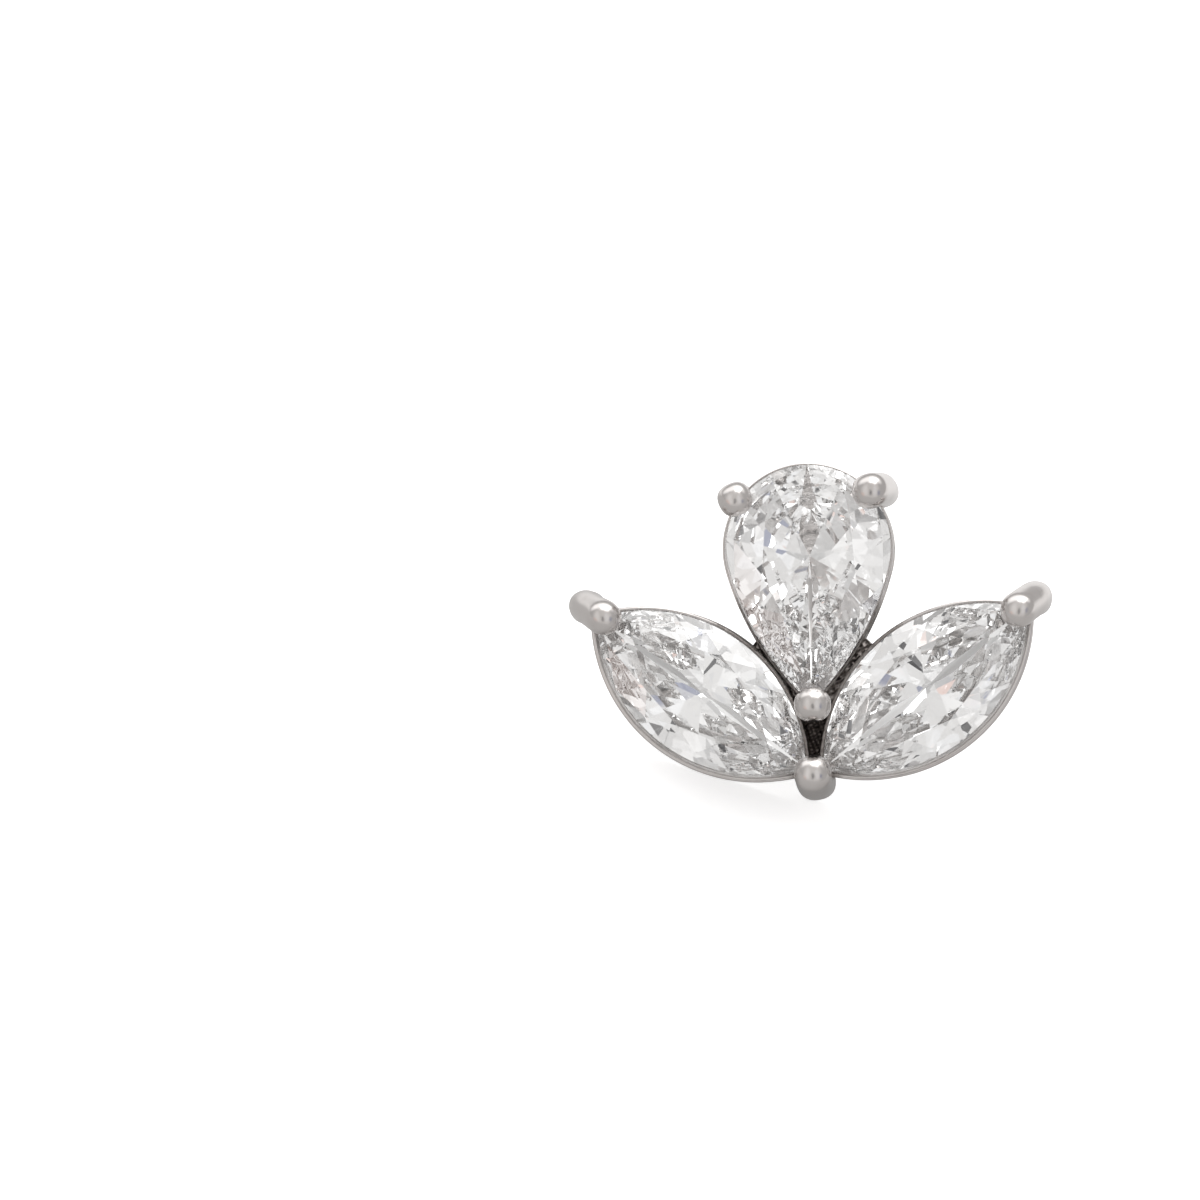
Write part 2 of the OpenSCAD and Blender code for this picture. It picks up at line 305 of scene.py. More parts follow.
LEAF_R = (LEAF_LEN ** 2 + LEAF_W ** 2) / (4 * LEAF_W)
LEAF_OFF = LEAF_R - LEAF_W / 2
FLANK_Y = (PEAR_R * (2 * PEAR_FLANK_R - PEAR_R) - PEAR_TIP ** 2) / (2 * PEAR_TIP)
FLANK_X = np.sqrt((PEAR_FLANK_R - PEAR_R) ** 2 - FLANK_Y ** 2)
FLANK_TURN = np.degrees(np.arctan2(FLANK_Y, FLANK_X))


def leaf_arcs(grow):
    """Upper and lower arc: middle across and up, radius, and the degrees where it starts and ends."""
    r = LEAF_R + grow
    half = np.degrees(np.arccos(LEAF_OFF / r))
    return [(0, -LEAF_OFF, r, 90 - half, 90 + half), (0, LEAF_OFF, r, 270 - half, 270 + half)]


def pear_arcs(grow):
    """Right flank from the point up, the round head, and the left flank back down to the point."""
    r = PEAR_FLANK_R + grow
    point = np.degrees(np.arccos(FLANK_X / r))
    return [(-FLANK_X, FLANK_Y, r, -point, -FLANK_TURN),
            (0, 0, PEAR_R + grow, -FLANK_TURN, 180 + FLANK_TURN),
            (FLANK_X, FLANK_Y, r, 180 + FLANK_TURN, 180 + point)]


def outline(arcs, shares):
    """Points round a list of arcs: middle plus radius times cosine and sine, at shares of each angle."""
    rows = []
    for (x, y, r, start, end), share in zip(arcs, shares):
        angle = np.radians(start + (end - start) * share)
        rows.append(np.stack([x + r * np.cos(angle), y + r * np.sin(angle)], -1))
    return np.concatenate(rows)


def shares_through(breaks, length, step=0.14):
    """Even shares of an arc from 0 up to but not 1, which pass exactly through the given breaks."""
    ends = [0, *sorted(x for x in set(breaks) if 0 < x < 1), 1]
    counts = [max(2, round((b - a) * length / step)) for a, b in zip(ends, ends[1:])]
    return np.concatenate([np.linspace(a, b, n, endpoint=False) for a, b, n in zip(ends, ends[1:], counts)])


def at_leaf(side):
    """Turns a marquise's basket by its rise and moves it to its stone on that side, or a little below."""
    turn = np.radians(side * LEAF_RISE)
    spin = np.array([[np.cos(turn), np.sin(turn)], [-np.sin(turn), np.cos(turn)]])
    return lambda points: (points - [0, LEAF_DOWN]) @ spin + [side * LEAF_X, LEAF_Y]


def at_pear(points):
    """Moves the pear's basket to its stone's place, or a little to the left and below."""
    return points + [PEAR_X - PEAR_LEFT, PEAR_Y - PEAR_DOWN]


print("marquise arcs: radius", round(LEAF_R, 2), "mm; pear flanks turn by", round(FLANK_TURN, 1), "degrees")

# %% [markdown]
# ## Sections of the baskets
#
# Each stone sits in an open basket: a wall that follows the stone, pierced by long windows that leave an
# upper and a lower rail. Its top edge, which shows as a thin bright line round the stone, is rounded over,
# and the inside slopes in under the stone as its seat. The setter's cutter leaves that seat bright, and it
# is what one sees through the clear stone, so its rows are marked as fresh metal.

# %% The wall's section
# How far the walls stand out from the stones, their thickness, and the heights of windows and girdles
PEAR_RIM, LEAF_RIM, WALL, WINDOW, GIRDLE = 0.13, 0.22, 0.7, 0.99, 3.0

# The seat's slope and its depth below the girdle, and the gap between the stone and the top edge
SEAT_SLOPE, SEAT_DROP, EDGE_GAP = 0.87, 0.1, 0.04
RIM_ROUND = np.linspace(0, np.pi, 9)

# Rows of the section at the lower and the upper end of a window, on the outside
LOWER, UPPER = 1, 2


def wall_profile(rim, rail, height):
    """Distance out from the stone's outline and height of each corner.

    They go up the outside, over the half-round top edge (cos a, sin a), and down the inside.
    """
    inner = rim - WALL
    half = (rim - EDGE_GAP) / 2
    edge = [(rim - half + half * np.cos(a), height - half + half * np.sin(a)) for a in RIM_ROUND]
    seat = [(x, min(height, GIRDLE) - SEAT_DROP + SEAT_SLOPE * x) for x in np.linspace(0, inner, 5)]
    return [(rim, 0), (rim, rail), (rim, rail + WINDOW), *edge, *seat,
            (inner, rail + WINDOW), (inner, rail), (inner, 0)]


PEAR_WALL = wall_profile(PEAR_RIM, rail=0.81, height=2.9)
LEAF_WALL = wall_profile(LEAF_RIM, rail=1.15, height=3.25)
print("section's corners:", len(PEAR_WALL), "for the pear and", len(LEAF_WALL), "for a marquise")

# %% Whole outlines on the head, and where a neighbour keeps the polish away and the metal gets painted shade
SHELTERED, OPEN = 0.9, 1.3


def placed_outline(arcs, place, grow):
    """A stone's whole outline on the head, as points about 0.1 mm apart."""
    even = np.linspace(0, 1, 80)
    return place(outline(arcs(grow), [even] * len(arcs(grow))))


# Darkens the metal near another basket: partly unpolished tarnish, partly painted shade between the baskets
def unpolished_and_shaded(points, others):
    """1 where another basket is nearer than SHELTERED millimetres in plan, falling to 0 at OPEN."""
    apart = np.linalg.norm(points.reshape(-1, 1, 3)[..., :2] - np.concatenate(others), axis=-1).min(1)
    return np.clip((OPEN - apart) / (OPEN - SHELTERED), 0, 1).reshape(points.shape[:-1])


PEAR_PLAN = placed_outline(pear_arcs, at_pear, PEAR_RIM)
LEAF_PLAN = {side: placed_outline(leaf_arcs, at_leaf(side), LEAF_RIM) for side in (-1, 1)}
print("the pear's basket is", round(np.ptp(PEAR_PLAN[:, 0]), 2), "mm wide")

# %% [markdown]
# ## A ring wall with windows
#
# Windows could be cut with booleans, but their edges would then need a clean mesh round them to be rounded.
# Here the wall is one ring-shaped grid instead, with the section carried round the outline. Over a window
# the faces between the rails are left out, and new ones close the rails and the window's two ends. The
# outline's points pass exactly through the ends of the windows.

# %% Where the windows cut the outline, and the faces that close them
def cut_outline(outer, windows):
    """Shares of each arc that pass through its windows' ends, and which steps between them are in a window.

    A window is an arc's number and two angles on the outer face.
    """
    cuts = [[np.clip((np.array(ends) - start) / (end - start), 0, 1) for arc, *ends in windows if arc == k]
            for k, (*_, start, end) in enumerate(outer)]
    shares = [shares_through(np.ravel(cut).tolist(), abs(np.radians(end - start)) * r)
              for cut, (_, _, r, start, end) in zip(cuts, outer)]
    middles = [(share + np.append(share[1:], 1)) / 2 for share in shares]
    is_open = [sum([(m > min(c)) & (m < max(c)) for c in cut], np.zeros(len(m), bool))
               for m, cut in zip(middles, cuts)]
    return shares, np.concatenate(is_open).astype(bool)


def window_faces(is_open, n, m, inner_upper, inner_lower):
    """Faces over the lower rail and under the upper one along each window, and at its two ends."""
    i = np.flatnonzero(is_open)
    starts = np.flatnonzero(is_open & ~np.roll(is_open, 1))
    ends = (np.flatnonzero(is_open & ~np.roll(is_open, -1)) + 1) % n
    rails = [np.stack([i * m + a, (i + 1) % n * m + a, (i + 1) % n * m + b, i * m + b], -1)
             for a, b in ((inner_lower, LOWER), (UPPER, inner_upper))]
    jambs = [np.stack([at * m + corner for corner in corners], -1)
             for at, corners in ((starts, (LOWER, UPPER, inner_upper, inner_lower)),
                                 (ends, (LOWER, inner_lower, inner_upper, UPPER)))]
    return rails + jambs


# %% A basket
# Darkening of the inside walls: partly tarnish, partly painted shade
INSIDE_TARNISH_AND_SHADE = 0.7


def basket(name, arcs, windows, place, profile, cast, others):
    """Points place(outline grown by each corner's distance) at each corner's height, round the whole outline.

    Cast is how much of the casting's dull, pitted skin the tumbling left on the outside.
    """
    shares, is_open = cut_outline(arcs(profile[0][0]), windows)
    rings = [np.insert(place(outline(arcs(out), shares)), 2, z, axis=1) for out, z in profile]
    points = np.stack(rings, 1)
    n, m = points.shape[:2]
    inner_upper, inner_lower = m - 3, m - 2
    solid = np.ones((n, m), bool)
    solid[np.ix_(is_open, [LOWER, inner_upper])] = False
    faces = np.concatenate([grid_faces(n, m, True).reshape(n, m, 4)[solid],
                            *window_faces(is_open, n, m, inner_upper, inner_lower)])
    corner = np.arange(m)
    seat = (corner > UPPER + len(RIM_ROUND)) & (corner < inner_upper)
    # Dark inside and near neighbours, partly as tarnish and casting skin and partly as painted shade; the
    # seat stays bright
    skin_and_shade = np.where(corner > UPPER, INSIDE_TARNISH_AND_SHADE * (corner >= inner_upper), cast)
    dullness = np.where(seat, 0, np.maximum(skin_and_shade, unpolished_and_shaded(points, others)))
    soften(make_piece(name, pressed(points), faces, dullness, seat))


# %% The three baskets
SIDES = {"left": -1, "right": 1}
PEAR_CAST, LEAF_CAST = 0.16, 0.07

# Heights on the pear where its side windows end, and half the width of the one at its head
FLANK_END, HEAD_END, TOP_HALF = -3.2, 1.1, 1.7

# Where a marquise's windows end, from its middle towards its outer tip
LONG_WINDOW, SHORT_WINDOW = np.array([-4.25, 3.85]), np.array([0.6, 3.4])


def pear_windows():
    """A window from each flank to the round head and one over the top, from the sines of their ends."""
    low = np.degrees(np.arcsin((FLANK_END - FLANK_Y) / (PEAR_FLANK_R + PEAR_RIM)))
    high, half = np.degrees(np.arcsin(np.array([HEAD_END, TOP_HALF]) / (PEAR_R + PEAR_RIM)))
    return [(0, low, 0), (1, -90, high), (1, 90 - half, 90 + half), (1, 180 - high, 270),
            (2, 180, 180 - low)]


def leaf_windows(side):
    """A long window below and a short one above near the outer end, from the sines of their ends."""
    below = np.degrees(np.arcsin(np.sort(side * LONG_WINDOW) / (LEAF_R + LEAF_RIM)))
    above = np.degrees(np.arcsin(np.sort(-side * SHORT_WINDOW) / (LEAF_R + LEAF_RIM)))
    return [(0, *(90 + above)), (1, *(270 + below))]


basket("pear_basket", pear_arcs, pear_windows(), at_pear, PEAR_WALL, PEAR_CAST, list(LEAF_PLAN.values()))
for word, side in SIDES.items():
    basket(f"marquise_basket_{word}", leaf_arcs, leaf_windows(side), at_leaf(side), LEAF_WALL, LEAF_CAST,
           [PEAR_PLAN, LEAF_PLAN[-side]])

# %% [markdown]
# ## Metal between the baskets
#
# Where the three baskets meet, the caster filled the gaps with metal. Tumbling never reached it, so it is
# rough and dark, and the dark colour is partly tarnish and partly painted shade, as the metal lies deep
# between the stones: two narrow channels beside the pear's point, and a deeper slot between the two
# marquises.
# Each is a thin slab between the middles of the walls on either side, with a bumpy top. Random bumps on a
# few points would look like noise from a computer, so they are added as a few waves that cross at odd
# angles.

# %% A slab with a bumpy top
BUMPS = 0.1


def slab(name, left, right, columns, top):
    """A closed slab from z = 0 to a bumpy top between two edges, with P = (1 - v) left(u) + v right(u).

    The bumps are three sines of sums of x and y, the last of them half as high.
    """
    v = np.linspace(0, 1, columns)[:, None]
    plan = (1 - v) * left[:, None] + v * right[:, None]
    x, y = plan[..., 0], plan[..., 1]
    bumps = (np.sin(19 * x + 7 * y) + np.sin(23 * y - 11 * x + 1) + np.sin(41 * x - 29 * y + 2) / 2) / 2.5
    upper = np.dstack([plan, top + BUMPS * bumps])
    lower = np.dstack([plan, 0 * x])
    rows = len(left)
    faces = grid_faces(rows, columns, closed_columns=False)
    number = np.arange(rows * columns).reshape(rows, columns)
    rim = np.concatenate([number[0, :-1], number[:-1, -1], number[-1, :0:-1], number[:0:-1, 0]])
    after = np.roll(rim, -1)
    sides = np.stack([after, rim, rim + rows * columns, after + rows * columns], -1)
    faces = np.concatenate([faces, faces[:, ::-1] + rows * columns, sides])
    # Darkest finish: tarnish, and painted shade deep between the stones
    make_piece(name, np.concatenate([upper.reshape(-1, 3), lower.reshape(-1, 3)]), faces, dullness=1.0)


# %% Two channels and a slot
PEAR_MIDDLE, LEAF_MIDDLE = PEAR_RIM - WALL / 2, LEAF_RIM - WALL / 2
CHANNEL_TOP, SLOT_TOP = 2.72, 1.9

# Where they run: down the pear's flank, and along the marquises' upper arcs from the middle inwards
DOWN_FLANK, ALONG_CHANNEL = np.linspace(-5.3, -7.95, 90), np.linspace(0.5, 3.4, 90)
ALONG_SLOT = np.linspace(3.0, 4.7, 60)


def pear_edge(y, grow, side):
    """Points of the pear's flank at given heights, from its circle: (x + cx)^2 + (y - cy)^2 = r^2."""
    r = PEAR_FLANK_R + grow
    up = y - at_pear(np.zeros(2))[1]
    return at_pear(np.stack([side * (np.sqrt(r ** 2 - (up - FLANK_Y) ** 2) - FLANK_X), up], -1))


def leaf_edge(x, grow, side):
    """Points of a marquise's upper arc at distances from its middle towards its inner end."""
    r = LEAF_R + grow
    return at_leaf(side)(np.stack([-side * x, np.sqrt(r ** 2 - x ** 2) - LEAF_OFF], -1))


for word, side in SIDES.items():
    slab(f"channel_{word}", pear_edge(DOWN_FLANK, PEAR_MIDDLE, side),
         leaf_edge(ALONG_CHANNEL, LEAF_MIDDLE, side), 24, CHANNEL_TOP)
slab("slot_floor", leaf_edge(ALONG_SLOT, LEAF_MIDDLE, -1), leaf_edge(ALONG_SLOT, LEAF_MIDDLE, 1),
     36, SLOT_TOP)

# %% [markdown]
# ## Prongs
#
# A prong is a wire that stands outside the basket, is pushed over the stone, and is then rounded into a
# ball with a cupped tool. That leaves a smooth bend rather than a kink, and on some a faint waist behind
# the ball. So each prong is a row of rings along a path: a rounded foot, a straight part, a curve through
# the bend, the lean, and a half-round end. The path stays in one plane, so one constant sideways direction
# serves all of its rings. The middle bead is made the same way, on a straight stem that is a little thinner
# and hides behind it.

# %% Rings along a path
RING = np.linspace(0, 2 * np.pi, 40, endpoint=False)[:, None]


def rod(name, path, radii, side, filed):
    """Rings P + r f(a) (cos a . side + sin a . (tangent x side)) along a path that bends in one plane.

    The hand-filed section, f(a) = 1 + oval cos 2a + square cos 4a, is a little oval and a little square.
    """
    oval, square = filed
    tangent = unit(np.gradient(path, axis=0))
    across = np.cross(tangent, side)
    section = 1 + oval * np.cos(2 * RING) + square * np.cos(4 * RING)
    rings = path[:, None] + radii[:, None, None] * section * (
        np.cos(RING) * side + np.sin(RING) * across[:, None])
    make_piece(name, pressed(rings), grid_faces(len(path), len(RING)))


# %% A prong
BEND_Z, BEND_REACH, TOP_Z = 2.9, 0.7, 4.9
FOOT_EDGE, FOOT_DOME = 0.12, 0.01
HARDLY_LEANING = 1e-3


def prong(name, foot, end, foot_r, end_r, foot_z, waist, filed):
    """The path is straight, then a quadratic Bezier curve, then straight again into the round end.

    Through the curve and the lean the radius goes evenly from foot_r to end_r, less waist times sin^2, which
    is greatest halfway.
    """
    corner, tip = np.array([*foot, BEND_Z]), np.array([*end, TOP_Z - end_r])
    lean = unit(tip - corner)
    low = corner - [0, 0, BEND_REACH]
    bent = corner + lean * BEND_REACH
    t = np.linspace(0, 1, 16)[:, None]
    edge = np.linspace(0, np.pi / 2, 7)
    stem = np.linspace(foot_z + FOOT_EDGE, low[2], 12, endpoint=False)[1:]
    curve = (1 - t) ** 2 * low + 2 * t * (1 - t) * corner + t ** 2 * bent
    straight = bent + (tip - bent) * np.linspace(0, 1, 10)[1:, None]
    cap = np.linspace(0, np.pi / 2, 15)[1:]
    heights = np.concatenate([[foot_z - FOOT_DOME], foot_z + FOOT_EDGE * (1 - np.cos(edge)), stem])
    path = np.concatenate([corner * [1, 1, 0] + heights[:, None] * [0, 0, 1], curve, straight,
                           tip + np.sin(cap)[:, None] * end_r * lean])
    leaning = np.linspace(0, 1, len(curve) + len(straight))
    radii = np.concatenate([[0], foot_r - FOOT_EDGE * (1 - np.sin(edge)), np.full(len(stem), foot_r),
                            foot_r + (end_r - foot_r) * leaning - waist * np.sin(np.pi * leaning) ** 2,
                            end_r * np.cos(cap)])
    sideways = np.cross([0, 0, 1], lean)
    side = unit(sideways) if np.linalg.norm(sideways) > HARDLY_LEANING else np.array([1.0, 0, 0])
    rod(name, path, radii, side, filed)


# %% Five prongs and the middle bead
BEAD_Y, BEAD_R, STEM_R = -8.04, 0.7, 0.6
PAD_TOP, PAD_BACK = 1.09, 0.25

# Name, foot and ball on the head, their radii, the foot's height, the waist, and how oval and how square
PRONGS = [
    ("prong_pear_left", (-2.80, -0.18), (-2.76, -0.27), 0.63, 0.66, 0.05, 0.03, (0.01, -0.03)),
    ("prong_pear_right", (2.66, 0.02), (2.34, -0.06), 0.65, 0.70, 0.05, 0.0, (-0.02, -0.015)),
    ("prong_marquise_left", (-8.56, -4.17), (-7.82, -4.60), 0.66, 0.69, -0.05, 0.04, (-0.03, 0.01)),
    ("prong_marquise_right", (8.41, -4.19), (7.81, -4.64), 0.66, 0.69, -0.05, 0.0, (-0.02, 0.015)),
    ("prong_low", (-0.02, -10.97), (-0.05, -10.66), 0.71, 0.72, -PAD_BACK, 0.0, (0.0, -0.015)),
    ("bead", (0, BEAD_Y), (0, BEAD_Y), STEM_R, BEAD_R, PAD_TOP, 0.0, (0.02, -0.02)),
]
for row in PRONGS:
    prong(*row)

# %% [markdown]
# ## Pad and post
#
# Both are turned shapes. The pad is a small cast disc behind the top of the head, rounded at its rim. The
# post is a straight wire soldered into it: a bead of solder fills the corner at its root, a shallow groove
# near the end gives the clutch a stop, rolling the groove raised a faint lip beyond it, and the nose is
# blunt and round, so that it slips through the ear. A profile of radius and depth, carried once round the
# axis, makes each.

# %% The pad as a turned profile
PAD_R, PAD_EDGE, PAD_TOP_EDGE, PAD_FLAT = 1.05, 0.2, 0.08, 0.6
PAD_BACK_DULLNESS, PAD_SIDE_DULLNESS = 0.8, 0.15
QUARTER = np.linspace(0, np.pi / 2, 9)


def turned(name, profile, dullness=0.0):
    """Points (r cos a, r sin a, z) from rows of r and z, for a whole turn of a."""
    r, z = np.array(profile, float).T[..., None, None]
    rings = np.concatenate([r * np.cos(RING), r * np.sin(RING), z + 0 * RING], -1)
    make_piece(name, rings, grid_faces(len(rings), len(RING)), dullness)


def rounded_edge(width, height, way):
    """A quarter circle from the pad's side to its face at a height, which looks up (1) or down (-1)."""
    return np.stack([PAD_R - width * (1 - np.cos(QUARTER)), height - way * width * (1 - np.sin(QUARTER))], -1)


# Top and its edge, side, back's edge and back, all the way from the axis to the axis
pad_profile = np.concatenate([
    [[0, PAD_TOP], [PAD_FLAT, PAD_TOP]], rounded_edge(PAD_TOP_EDGE, PAD_TOP, 1)[::-1],
    np.linspace([PAD_R, 0.9], [PAD_R, 0.1], 6),
    rounded_edge(PAD_EDGE, -PAD_BACK, -1), [[PAD_FLAT, -PAD_BACK], [0, -PAD_BACK]]])
untumbled = pad_profile[:, 1] < -PAD_BACK + PAD_EDGE / 4
turned("pad", pad_profile, np.where(untumbled, PAD_BACK_DULLNESS, PAD_SIDE_DULLNESS)[:, None])

# %% The post as a turned profile
POST_R, POST_LEN, FILLET, GROOVE_AT = 0.4, 12.0, 0.13, 9.44
NOSE_LEN, NOSE_BLUNT = 0.5, 0.9

# Distance past the groove's middle, and how far the wire stands out: into the groove, over its lip and back
GROOVE = np.array([(-0.20, 0), (-0.15, -0.01), (-0.02, -0.055), (0.02, -0.055),
                   (0.15, -0.01), (0.22, 0.012), (0.35, 0.012), (0.55, 0)])

solder = np.stack([POST_R + FILLET * (1 - np.sin(QUARTER)), FILLET * (1 - np.cos(QUARTER))], -1)
groove = GROOVE[:, ::-1] + [POST_R, GROOVE_AT]
bow = np.linspace(0, np.pi / 2, 17)
nose = np.stack([POST_R * np.cos(bow) ** NOSE_BLUNT, POST_LEN - NOSE_LEN * (1 - np.sin(bow))], -1)
post_profile = np.concatenate([
    [[0, -PAD_BACK], [POST_R + FILLET, -PAD_BACK]], solder, np.linspace([POST_R, 0.4], [POST_R, 9.0], 30),
    groove, np.linspace([POST_R, 10.2], [POST_R, 11.3], 5), nose])
turned("post", post_profile * [1, -1] + [0, -PAD_BACK])

# %% [markdown]
# ## Finishes
#
# The metal is cast brass with silver plating: bright and satin where it was tumbled, dark and pitted in the
# corners, where the dark is partly tarnish and partly painted shade, spotted with pits where some of the
# casting's skin was left, and whitest where the setter cut the seats. One node group works out colour,
# roughness and fine bumps from the place on the head in millimetres and from the dullness and fresh
# marks that each piece carries. Bumps keep to hundredths of a millimetre, because real casting grain does.

# %% Short ways to add nodes
def feed(tree, socket, value):
    """Links an input to an output of another node, or gives it a constant."""
    if isinstance(value, bpy.types.NodeSocket):
        tree.links.new(value, socket)
    else:
        socket.default_value = value


def node(tree, kind, at, **values):
    """Adds a node at a place in the tree. Values with a capital are inputs, the others are settings."""
    made = tree.nodes.new("ShaderNode" + kind)
    made.location = (at[0] * 200, at[1] * 180)
    for name, value in values.items():
        if name[0].isupper():
            feed(tree, made.inputs[name.replace("_", " ")], value)
        else:
            setattr(made, name, value)
    return made


def math_node(tree, at, operation, *values, **settings):
    """Result of a Math node, whose values are constants or outputs of other nodes."""
    made = node(tree, "Math", at, operation=operation, **settings)
    for socket, value in zip(made.inputs, values):
        feed(tree, socket, value)
    return made.outputs["Value"]


def ramp(tree, at, value, before, after, **settings):
    """A value that goes from after[0] to after[1] while the given one goes from before[0] to before[1]."""
    return node(tree, "MapRange", at, Value=value, From_Min=before[0], From_Max=before[1],
                To_Min=after[0], To_Max=after[1], **settings).outputs["Result"]


def noise(tree, at, place, scale, detail, roughness):
    """Noise about 0.5: scale is how many of its bumps fit in a millimetre, and detail adds finer ones."""
    return node(tree, "TexNoise", at, Vector=place, Scale=scale, Detail=detail,
                Roughness=roughness).outputs["Fac"]


def mix_color(tree, at, first, second, share, blend_type="MIX"):
    """A colour mix between two constant colours or outputs, by a share that is an output."""
    mix = node(tree, "Mix", at, data_type="RGBA", blend_type=blend_type)
    for number, value in ((6, first), (7, second), (0, share)):
        feed(tree, mix.inputs[number], value)
    return mix.outputs[2]


# %% The plated skin as a node group
def plated_skin():
    """Group: place in mm, dullness, freshness and the metal's values in, colour, roughness and normal out."""
    tree = bpy.data.node_groups.new("plated_skin", "ShaderNodeTree")
    for name, kind in (("Place", "Vector"), ("Dullness", "Float"), ("Fresh", "Float"), ("Shine", "Float"),
                       ("Bright", "Color")):
        tree.interface.new_socket(name, in_out="INPUT", socket_type="NodeSocket" + kind)
    for name, kind in (("Color", "Color"), ("Roughness", "Float"), ("Normal", "Vector")):
        tree.interface.new_socket(name, in_out="OUTPUT", socket_type="NodeSocket" + kind)
    given, result = tree.nodes.new("NodeGroupInput"), tree.nodes.new("NodeGroupOutput")
    given.location, result.location = (-1200, 0), (1200, 0)

    # Patterns: fine grain, broad clouds, crusty lumps and round pits
    place, dullness = given.outputs["Place"], given.outputs["Dullness"]
    grain = noise(tree, (-4, 3), place, 9.0, 4.0, 0.65)
    clouds = noise(tree, (-4, 1), place, 1.1, 2.0, 0.5)
    lumps = noise(tree, (-4, -3), place, 4.5, 5.0, 0.7)
    cells = node(tree, "TexVoronoi", (-4, -1), Vector=place, Scale=6.5).outputs["Distance"]
    pits = ramp(tree, (-2, -1), cells, (0.15, 0.6), (1.0, 0.0))

    # Dark, unevenly, where the metal is dull and where shade is painted in, and in spots where it is only a
    # little dull
    uneven = math_node(tree, (-2, 0), "MULTIPLY_ADD", lumps, 0.7, 0.62)
    all_over = math_node(tree, (-1, 0), "MULTIPLY", uneven, dullness, use_clamp=True)
    spots = ramp(tree, (-3, -2), lumps, (0.57, 0.66), (0.0, 1.0))
    skin_left = ramp(tree, (-3, -1), dullness, (0.02, 0.16), (0.0, 1.0))
    spotted = math_node(tree, (-2, -2), "MULTIPLY", spots, skin_left)
    dark = math_node(tree, (-1, -2), "MAXIMUM", all_over, spotted)

    # Colour: clouded plating, stained and painted with shade where it is dark, whitest where it was cut
    veil = ramp(tree, (-1, 3), clouds, (0.45, 0.75), (0.0, 0.5))
    clean = mix_color(tree, (0, 3), given.outputs["Bright"], (0.85, 0.84, 0.83, 1), veil, "MULTIPLY")
    stain_and_shade = mix_color(tree, (0, 2), (0.40, 0.37, 0.35, 1), (0.09, 0.076, 0.07, 1), lumps)
    worn_and_shaded = mix_color(tree, (2, 2), clean, stain_and_shade, dark)
    cut = mix_color(tree, (3, 2), worn_and_shaded, (0.95, 0.94, 0.93, 1), given.outputs["Fresh"])
    feed(tree, result.inputs["Color"], cut)

    # Roughness: the metal's own with a little grain, and 0.3 where it is dark
    satin = math_node(tree, (0, 0), "MULTIPLY_ADD", grain, 0.12, given.outputs["Shine"])
    rough = node(tree, "Mix", (2, 0), data_type="FLOAT", Factor=dark, A=satin, B=0.3)
    feed(tree, result.inputs["Roughness"], rough.outputs[0])

    # Bumps: fine grain everywhere, and lumps and pits twelve times as high where the metal is dull
    rugged = math_node(tree, (0, -2), "MULTIPLY_ADD", pits, -0.6, lumps)
    heavy = math_node(tree, (1, -2), "MULTIPLY", rugged, dullness)
    height = math_node(tree, (2, -2), "MULTIPLY_ADD", heavy, 12.0, grain)
    bump = node(tree, "Bump", (4, -1), Height=height, Strength=1.0, Distance=0.0000022)
    feed(tree, result.inputs["Normal"], bump.outputs["Normal"])
    return tree


PLATED_SKIN = plated_skin()
print("plated skin:", len(PLATED_SKIN.nodes), "nodes")

# %% [markdown]
# ## Two metals from one skin
#
# The cast head and the post's drawn wire are the same metal with the same plating. The wire is a little
# darker and smoother, and its marks are long streaks, because it was pulled through a die. So both use the
# skin group, and the wire's copy gets its places squeezed along the post before the noise reads them.

# %% Cast metal and drawn wire
def metal(name, bright, shine, stretch):
    """A Principled metal that takes colour, roughness and normal from the plated skin, stretched by axis."""
    material = bpy.data.materials.new(name)
    material.use_nodes = True
    tree = material.node_tree
    place = node(tree, "Attribute", (-5, 1), attribute_name="head_mm").outputs["Vector"]
    dullness = node(tree, "Attribute", (-5, 0), attribute_name="dullness").outputs["Fac"]
    fresh = node(tree, "Attribute", (-5, -1), attribute_name="fresh").outputs["Fac"]
    drawn = node(tree, "VectorMath", (-4, 1), operation="MULTIPLY")
    feed(tree, drawn.inputs[0], place)
    feed(tree, drawn.inputs[1], stretch)
    skin_and_shade = node(tree, "Group", (-2, 0), node_tree=PLATED_SKIN, Place=drawn.outputs["Vector"],
                Dullness=dullness, Fresh=fresh, Shine=shine, Bright=bright)
    principled = tree.nodes["Principled BSDF"]
    principled.inputs["Metallic"].default_value = 1.0
    feed(tree, principled.inputs["Base Color"], skin_and_shade.outputs["Color"])
    feed(tree, principled.inputs["Roughness"], skin_and_shade.outputs["Roughness"])
    feed(tree, principled.inputs["Normal"], skin_and_shade.outputs["Normal"])
    return material


plated_silver = metal("plated_silver", (0.65, 0.62, 0.605, 1), 0.17, (1, 1, 1))
plated_wire = metal("plated_wire", (0.47, 0.445, 0.435, 1), 0.14, (2.5, 2.5, 0.12))
meshes = [item for item in bpy.context.scene.objects if item.type == "MESH"]
pieces = [item for item in meshes if "head_mm" in item.data.attributes]
for piece in pieces:
    piece.data.materials.append(plated_wire if piece.name == "post" else plated_silver)
print("pieces of metal:", len(pieces))

# %% [markdown]
# ## Crystal
#
# Cubic zirconia bends light far more than glass does, which is why the cut throws so many bright and dark
# patches. The facets are the solid's own, flat and sharp, and the finish only needs the right index of
# refraction. Light is reflected many times inside before it comes out, so the render has to follow it
# further than it usually does.

# %% The stones' finish
CZ_INDEX = 2.16

